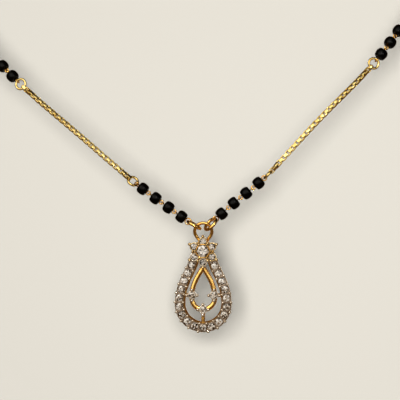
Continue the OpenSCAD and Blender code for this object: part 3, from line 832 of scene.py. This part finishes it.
@dataclass
class Stones:
    """Brilliant cut stones of one size, each a table, stars, kites, upper girdle facets and a pavilion."""

    node: str
    places: Array
    diameter: float
    level: float
    painted_light_shift: float = 0.0
    table_r: float = 0.29
    crown_h: float = 0.15
    star_r: float = 0.41
    girdle_h: float = 0.02
    pavilion_h: float = 0.42
    # Mean painted light of each kind of face; stone_swing and face_swing vary it by chance.
    painted_face_light: tuple = (0.8, 0.3, 0.7, 0.5, 0.35, 0.2)  # table's rays, light and dark, stars, kites, rims, rest
    face_counts: tuple = (8, 8, 8, 8, 16, 32)
    stone_swing: float = 0.12
    face_swing: float = 0.55

    def ring(self, radius: float, height: float, count: int, turn: float) -> Array:
        """Corners of a regular polygon at a height, as shares of the diameter."""
        flat = polar(turn + 360 / count * np.arange(count), radius)
        return np.column_stack([flat, np.full(count, height)])

    def brilliant(self) -> tuple[Array, list[Array]]:
        """One stone's corners and faces, in the order: table, star, kite, upper girdle, girdle, pavilion."""
        drop = (self.star_r * np.cos(np.pi / 8) - self.table_r) / (0.5 - self.table_r)
        star_h = self.crown_h + (self.girdle_h - self.crown_h) * drop
        table = self.ring(self.table_r, self.crown_h, 8, 0)
        middles = (table + np.roll(table, -1, axis=0)) / 2
        points = np.vstack([
            table, self.ring(self.star_r, star_h, 8, 22.5), self.ring(0.5, self.girdle_h, 16, 0),
            self.ring(0.5, 0, 16, 0), [[0, 0, -self.pavilion_h]], [[0, 0, self.crown_h]], middles])
        star, girdle, under, culet, heart, middle = 8, 16, 32, 48, 49, 50
        k, g, rows = np.arange(8), np.arange(16), np.column_stack
        after, on = (k + 1) % 8, (g + 1) % 16
        faces = [
            rows([k, middle + k, heart + 0 * k]),
            rows([middle + k, after, heart + 0 * k]),
            rows([k, star + k, after, middle + k]),
            rows([k, star + (k + 7) % 8, girdle + 2 * k, star + k]),
            rows([star + k, girdle + 2 * k, girdle + 2 * k + 1]),
            rows([star + k, girdle + 2 * k + 1, girdle + (2 * k + 2) % 16]),
            rows([girdle + g, under + g, under + on, girdle + on]),
            rows([under + on, under + g, culet + 0 * g])]
        return points * self.diameter, faces

    def tones(self, chance: np.random.Generator) -> Array:
        """A painted light or dark value for each face: the table's rays alternate, and the rest vary by chance.
        """
        means = np.repeat(self.painted_face_light, self.face_counts)
        swing = chance.uniform(-1, 1, len(means))
        whole = chance.uniform(-self.stone_swing, self.stone_swing) + self.painted_light_shift
        return np.clip(means + whole + self.face_swing * np.sign(swing) * np.abs(swing) ** 0.5, 0, 1)

    def build(self, material: Material, seed: int) -> None:
        """All the stones of the node as one flat-shaded piece.

        Args:
            material: their finish, which reads each face's painted light value.
            seed: what the tones' chance starts from.
        """
        chance = np.random.default_rng(seed)
        shell = Shell()
        values = []
        points, faces = self.brilliant()
        for place in np.atleast_2d(self.places):
            shell.add(stand(points + [*place, self.level]), faces)
            values.append(self.tones(chance))
        piece = shell.build(f"cut_{self.node}", [material], smooth=False)
        # Each face's painted light value, for the finish's colour ramp.
        fire = piece.data.attributes.new("fire", "FLOAT", "FACE")
        fire.data.foreach_set("value", np.concatenate(values).astype(np.float32))
        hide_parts(self.node)
        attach(piece, "pendant")
        LOG.info("%s: %d stones", piece.name, len(values))


# Beads, rings and box chain


@dataclass
class BeadGroup:
    """Four black beads on their pins, each turned from the frame's own bead."""

    side: str
    number: int
    bead_d: float = 2.45 * MM
    bead_l: float = 1.95 * MM
    bore_d: float = 0.44 * MM
    fullness: float = 2.1
    beads: int = 4

    def build(self, glass: Material) -> None:
        """The group as one piece: each wall is a superellipse from bore to surface, turned about the bore.

        Args:
            glass: their finish.
        """
        name = f"beads_{self.side}_{self.number}"
        shell = Shell()
        wall = (self.bead_d - self.bore_d) / 2
        profile = rounded_bar(wall, self.bead_l, self.fullness, 36) + [self.bore_d / 2 + wall / 2, 0]
        section = lathe(profile, 48)
        for points in clusters(node_points(name), self.beads):
            size, axes = spread(points)
            odd = np.argmax(np.abs(size - np.median(size)))
            shell.add_grid(placed(section, points.mean(0), axes[odd], axes[(odd + 1) % 3]), wrap_u=True)
        piece = shell.build(f"glass_{name}", [glass])
        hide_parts(name)
        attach(piece, "chain")
        LOG.info("%s: %d beads", piece.name, self.beads)


@dataclass
class WireLoop:
    """A round wire bent into a closed loop of two half circles and two straight sides, as its node lies."""

    node: str
    half_w: float
    wire_d: float
    straight: float = 0.0

    def build(self, gold: Material) -> None:
        """The loop as one piece with its flat side across the node's direction of least spread.

        The wire's middle line is a circle's points, each half pushed out by half the straight length.

        Args:
            gold: its finish.
        """
        points = node_points(self.node)
        axes = spread(points)[1]
        reach = np.ptp(points @ axes[:2].T, axis=0)
        x, y = circle(self.half_w, 64).T
        loop = np.column_stack([x + np.sign(x) * self.straight / 2, y, 0 * x])
        around = np.vstack([loop[-1:], loop, loop[:1]])
        grid = sweep(around, NORMAL, circle(self.wire_d / 2, 16))[1:-1]
        centre = (points.max(0) + points.min(0)) / 2
        shell = Shell()
        shell.add_grid(placed(grid, centre, axes[2], axes[int(np.argmax(reach))]), wrap_u=True)
        piece = shell.build(f"wire_{self.node}", [gold])
        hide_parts(self.node)
        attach(piece, "chain")
        LOG.info("%s: one loop of wire", piece.name)


@dataclass
class BoxChain:
    """A piece of box chain: square bands of flat strip, each through the next at a right angle."""

    side: str
    number: int
    rolls: tuple[float, float]
    width: float = 1.05 * MM
    strip: float = 0.64 * MM
    wall: float = 0.20 * MM
    corner: float = 0.09 * MM
    pitch: float = 0.67 * MM
    slack: float = 0.02 * MM
    overhang: float = 0.80 * MM
    end_extra: float = 0.1 * MM
    settle: float = 2.0
    fullness: float = 5.0
    section_sides: int = 12
    tube_sides: int = 8

    def line(self, start: Array) -> Array:
        """The middle line of the frame's tube, carried on into both rings: the means of the tube's rings.

        Args:
            start: centre of the ring that the line begins at.

        Returns:
            The (300, 3) points, at equal steps.
        """
        points = in_order(node_points(f"box_chain_{self.side}_{self.number}"))
        line = resample(points.reshape(-1, self.tube_sides, 3).mean(1), 200)
        if np.linalg.norm(line[0] - start) > np.linalg.norm(line[-1] - start):
            line = line[::-1]
        ends = line[[0, -1]] + self.overhang * tangents(line)[[0, -1]] * [[-1], [1]]
        return resample(np.vstack([ends[:1], line, ends[1:]]), 300)

    def link(self, length: float) -> Array:
        """A square band lying along X with its hole along Z: a rounded strip carried round a rectangle.

        Args:
            length: outer length along X.

        Returns:
            The (turns, section, 3) grid, to be wrapped both ways.
        """
        half = np.array([length, self.width]) / 2 - self.wall / 2
        signs = np.array([[1, 1], [-1, 1], [-1, -1], [1, -1]])
        path = np.vstack([
            sign * (half - self.corner) + polar(np.linspace(turn, turn + 90, 4), self.corner)
            for sign, turn in zip(signs, (0, 90, 180, 270))])
        ring = np.column_stack([path, np.zeros(len(path))])
        loop = np.vstack([ring[-1:], ring, ring[:1]])
        return sweep(loop, NORMAL, rounded_bar(self.wall, self.strip, self.fullness, self.section_sides))[1:-1]

    def roll(self, count: int, asked: list[float]) -> Array:
        """How far each link is rolled: a quarter turn a link on an even twist, led to the rings at both ends.

        Args:
            count: how many links there are.
            asked: the rolls, in radians, that go through the first and the last ring.

        Returns:
            The roll of each link, in radians.
        """
        k = np.arange(count)
        roll = np.radians(np.interp(k, [0, count - 1], self.rolls)) + k * np.pi / 2
        wrap = [(turn - roll[end] + np.pi / 2) % np.pi - np.pi / 2 for turn, end in zip(asked, (0, -1))]
        return roll + (
            wrap[0] * np.exp(-(k / self.settle) ** 2) + wrap[1] * np.exp(-((count - 1 - k) / self.settle) ** 2))

    def build(self, gold: Material, inside: Material) -> None:
        """The links from ring to ring as one piece, with the twist that both rings ask for.

        Args:
            gold: finish of the strip's outside and edges.
            inside: painted shade on the strip's inner face and the corner beside it.
        """
        first, last = (ring_of(f"jump_ring_{self.side}_{2 * self.number - back}") for back in (1, 0))
        line = self.line(first[0])
        along = tangents(line)
        total = np.linalg.norm(np.diff(line, axis=0), axis=1).sum()
        distance = np.linspace(0, total, len(line))
        length = 2 * self.wall + self.pitch + self.slack
        inner = total - 2 * self.end_extra - length
        count = int(round(inner / self.pitch)) + 1
        step = inner / (count - 1)
        outwards = FRONT if self.number < 3 else unit(line[len(line) // 2] * [1, 1, 0])
        level = unit(outwards - (along @ outwards)[:, None] * along)
        aside = np.cross(along, level)
        ends = ((0, first[1]), (-1, last[1]))
        roll = self.roll(count, [np.arctan2(normal @ aside[k], normal @ level[k]) for k, normal in ends])
        plain, long_link = self.link(length), self.link(length + self.end_extra)
        column = np.arange(self.section_sides)
        # Painted shade: the columns of the strip's inner face and the corner beside it take the dark inside
        # finish.
        finish = np.isin(column, (0, column[-1], column[-2])).astype(int)
        shell = Shell()
        for k in range(count):
            nudge = (k == count - 1) - (k == 0)
            middle = self.end_extra + k * step + length / 2 + nudge * self.end_extra / 2
            here = int(np.clip(middle / total * (len(line) - 1), 0, len(line) - 1))
            plane_up = np.cos(roll[k]) * level[here] + np.sin(roll[k]) * aside[here]
            grid = placed(
                long_link if nudge else plain, read_off(middle, distance, line),
                np.cross(along[here], plane_up), along[here])
            shell.add_grid(grid, wrap_u=True, finish=finish)
        name = f"box_chain_{self.side}_{self.number}"
        piece = shell.build(f"links_{name}", [gold, inside])
        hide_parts(name)
        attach(piece, "chain")
        LOG.info("%s: %d links", piece.name, count)


def dress(names: list[str], material: Material) -> None:
    """Gives CAD nodes whose shape is right their finish.

    Args:
        names: the nodes.
        material: their finish.
    """
    for name in names:
        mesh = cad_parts[name].data
        mesh.materials.clear()
        mesh.materials.append(material)
        LOG.info("%s: dressed in %s", name, material.name)


# Stage, light and camera


@dataclass
class Studio:
    """A pale curved backdrop, soft lamps and the photograph's camera."""

    azimuth: float = 4.0
    elevation: float = 3.0
    distance: float = 450 * MM
    frame_width: float = 80 * MM
    shift_right: float = -0.64 * MM
    shift_up: float = 4.6 * MM
    sensor_mm: float = 36.0
    floor_z: float = -260 * MM
    wall_y: float = 130 * MM
    bend_r: float = 80 * MM
    half_floor: float = 1.6
    wall_top: float = 1.2
    window_way: tuple = (-0.26, -0.86, 0.44)
    window_edge: float = 0.5
    window_core: float = 0.95
    window_power: float = 2.0
    window_rim_power: float = 0.3
    window_colour: str = "#fff8ea"
    room_colour: str = "#2a2118"
    lamps: tuple = (  # name, offset from the hook and side in metres, radiance and colour
        ("key", (-0.28, -0.5, 0.3), 0.10, 7.0, "#fff8ee"),
        ("right", (0.4, -0.42, 0.12), 0.12, 6.0, "#fff6ea"),
        ("spark", (0.12, -0.5, 0.25), 0.04, 70.0, "#ffffff"))
    paper_light_w: float = 78.0
    paper_light_size: float = 20 * MM
    paper_light_left: float = 4.5 * MM
    paper_light_up: float = 6 * MM

    def axes(self) -> tuple[Array, Array, Array]:
        """The camera's right, up and backward directions."""
        a, e = np.radians(self.azimuth), np.radians(self.elevation)
        back = np.array([np.sin(a) * np.cos(e), -np.cos(a) * np.cos(e), np.sin(e)])
        right = np.array([np.cos(a), np.sin(a), 0])
        return right, np.cross(back, right), back

    def make_camera(self) -> None:
        """The camera at the photograph's angle, far enough away for its flat perspective."""
        right, up, back = self.axes()
        data = bpy.data.cameras.new("camera")
        data.sensor_width = self.sensor_mm
        data.lens = self.sensor_mm * self.distance / self.frame_width
        data.clip_start, data.clip_end = 0.01, 10
        camera = bpy.data.objects.new("camera", data)
        place = HOOK + self.shift_right * right + self.shift_up * up + self.distance * back
        turned = np.column_stack([right, up, back, place])
        camera.matrix_world = Matrix(np.vstack([turned, [0, 0, 0, 1]]).tolist())
        bpy.context.scene.collection.objects.link(camera)
        bpy.context.scene.camera = camera
        bpy.context.scene.view_settings.view_transform = "Standard"

    def add_lamp(self, name: str, offset: tuple, size: float, radiance: float, colour: str) -> Object:
        """A square soft lamp that faces the pendant.

        Args:
            name: the lamp's name.
            offset: its place in metres, measured from the pendant's hook.
            size: its side in metres.
            radiance: how bright its face is, where 1 is the white of the picture.
            colour: its colour.

        Returns:
            The lamp; its power is radiance times pi times its area.
        """
        data = bpy.data.lights.new(name, "AREA")
        data.shape = "SQUARE"
        data.size = size
        data.energy = radiance * np.pi * size**2
        data.color = linear(colour)[:3]
        lamp = bpy.data.objects.new(name, data)
        lamp.location = Vector(HOOK) + Vector(offset)
        lamp.rotation_mode = "QUATERNION"
        lamp.rotation_quaternion = (-Vector(offset)).to_track_quat("-Z", "Y")
        bpy.context.scene.collection.objects.link(lamp)
        return lamp

    def make_lamps(self, backdrop: Object) -> None:
        """Two soft lamps, a small bright one for the sparkle, and one that throws the shade on the paper.

        Args:
            backdrop: the paper, the only thing that the last lamp lights.
        """
        for lamp in self.lamps:
            self.add_lamp(*lamp)
        right, up, back = self.axes()
        offset = self.distance * back - self.paper_light_left * right + self.paper_light_up * up
        shade = self.add_lamp("paper_light", tuple(map(float, offset)), self.paper_light_size, 1.0, PALE)
        shade.data.energy = self.paper_light_w
        receivers = bpy.data.collections.new("lit_by_paper_light")
        receivers.objects.link(backdrop)
        shade.light_linking.receiver_collection = receivers

    def make_room(self) -> None:
        """A dark room with one soft window, where the camera itself sees plain paper."""
        world = bpy.data.worlds.new("dark_room")
        bpy.context.scene.world = world
        world.use_nodes = True
        tree = world.node_tree
        tree.nodes.clear()
        way = add_node(tree, "TexCoord", {})
        toward = add_node(
            tree, "VectorMath", {"operation": "DOT_PRODUCT", 1: self.window_way}, {0: way.outputs["Generated"]})
        share = add_node(
            tree, "MapRange",
            {"interpolation_type": "SMOOTHSTEP", "From Min": self.window_edge, "From Max": self.window_core},
            {"Value": toward.outputs["Value"]})
        tones = {"data_type": "RGBA", 6: linear(self.room_colour), 7: linear(self.window_colour)}
        room = add_node(tree, "Mix", tones, {0: share})
        power = add_node(
            tree, "MapRange",
            {"interpolation_type": "SMOOTHERSTEP", "From Min": self.window_edge, "From Max": 1.0,
             "To Min": self.window_rim_power, "To Max": self.window_power},
            {"Value": toward.outputs["Value"]})
        dim = add_node(tree, "Background", {}, {"Color": room.outputs[2], "Strength": power})
        pale = add_node(tree, "Background", {"Color": linear(PALE), "Strength": 1.0})
        seen = add_node(tree, "LightPath", {}).outputs["Is Camera Ray"]
        both = add_node(tree, "MixShader", {}, {0: seen, 1: dim, 2: pale})
        add_node(tree, "OutputWorld", {}, {"Surface": both})

    def make_backdrop(self) -> Object:
        """A floor that bends up into a wall behind the necklace: a section of (y, z) drawn out along X."""
        foot = self.floor_z + self.bend_r
        bend = np.radians(np.linspace(0, 90, 17))[1:-1]
        profile = np.vstack([
            [[-self.half_floor, self.floor_z], [self.wall_y - self.bend_r, self.floor_z]],
            np.column_stack([
                self.wall_y - self.bend_r + self.bend_r * np.sin(bend), foot - self.bend_r * np.cos(bend)]),
            [[self.wall_y, foot], [self.wall_y, self.wall_top]]])
        grid = np.stack([np.insert(profile, 0, x, axis=1) for x in (-self.half_floor, self.half_floor)])
        count = len(profile)
        shell = Shell()
        shell.add(grid, [np.arange(count - 1)[:, None] + [0, count, count + 1, 1]])
        paper = Paper("seamless_paper", (0, self.wall_y, HOOK[2]))
        backdrop = shell.build("backdrop", [paper.material()])
        return backdrop


def main() -> None:
    logging.basicConfig(level=logging.INFO)
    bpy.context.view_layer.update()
    studio = Studio()
    studio.make_camera()
    studio.make_lamps(studio.make_backdrop())
    studio.make_room()
    gold, chain_gold, inside = YELLOW_GOLD.material(), CHAIN_GOLD.material(), PAINTED_SHADE_GOLD.material()
    white, stone, black = WHITE_RHODIUM.material(), CUT_STONE.material(), BLACK_GLASS.material()
    pendant = Pendant()
    pendant.build([white, gold, PAINTED_SHADE_WHITE.material(), THIN_WHITE.material()])
    for seed, stones in enumerate(pendant.stones()):
        stones.build(stone, seed)
    dress(["clasp"], gold)
    for side in SIDES:
        WireLoop(f"end_link_{side}", LINK_W / 2, LINK_WIRE_D, LINK_L - LINK_W).build(gold)
        for number in range(1, 2 * GROUPS + 1):
            WireLoop(f"jump_ring_{side}_{number}", RING_R, RING_WIRE_D).build(chain_gold)
        dress([f"bead_pins_{side}_{group}" for group in range(1, GROUPS + 1)], gold)
        for group in range(1, GROUPS + 1):
            BeadGroup(side, group).build(black)
            BoxChain(side, group, CHAIN_ROLLS.get((side, group), HIDDEN_ROLLS)).build(chain_gold, inside)


if __name__ == "__main__":
    main()
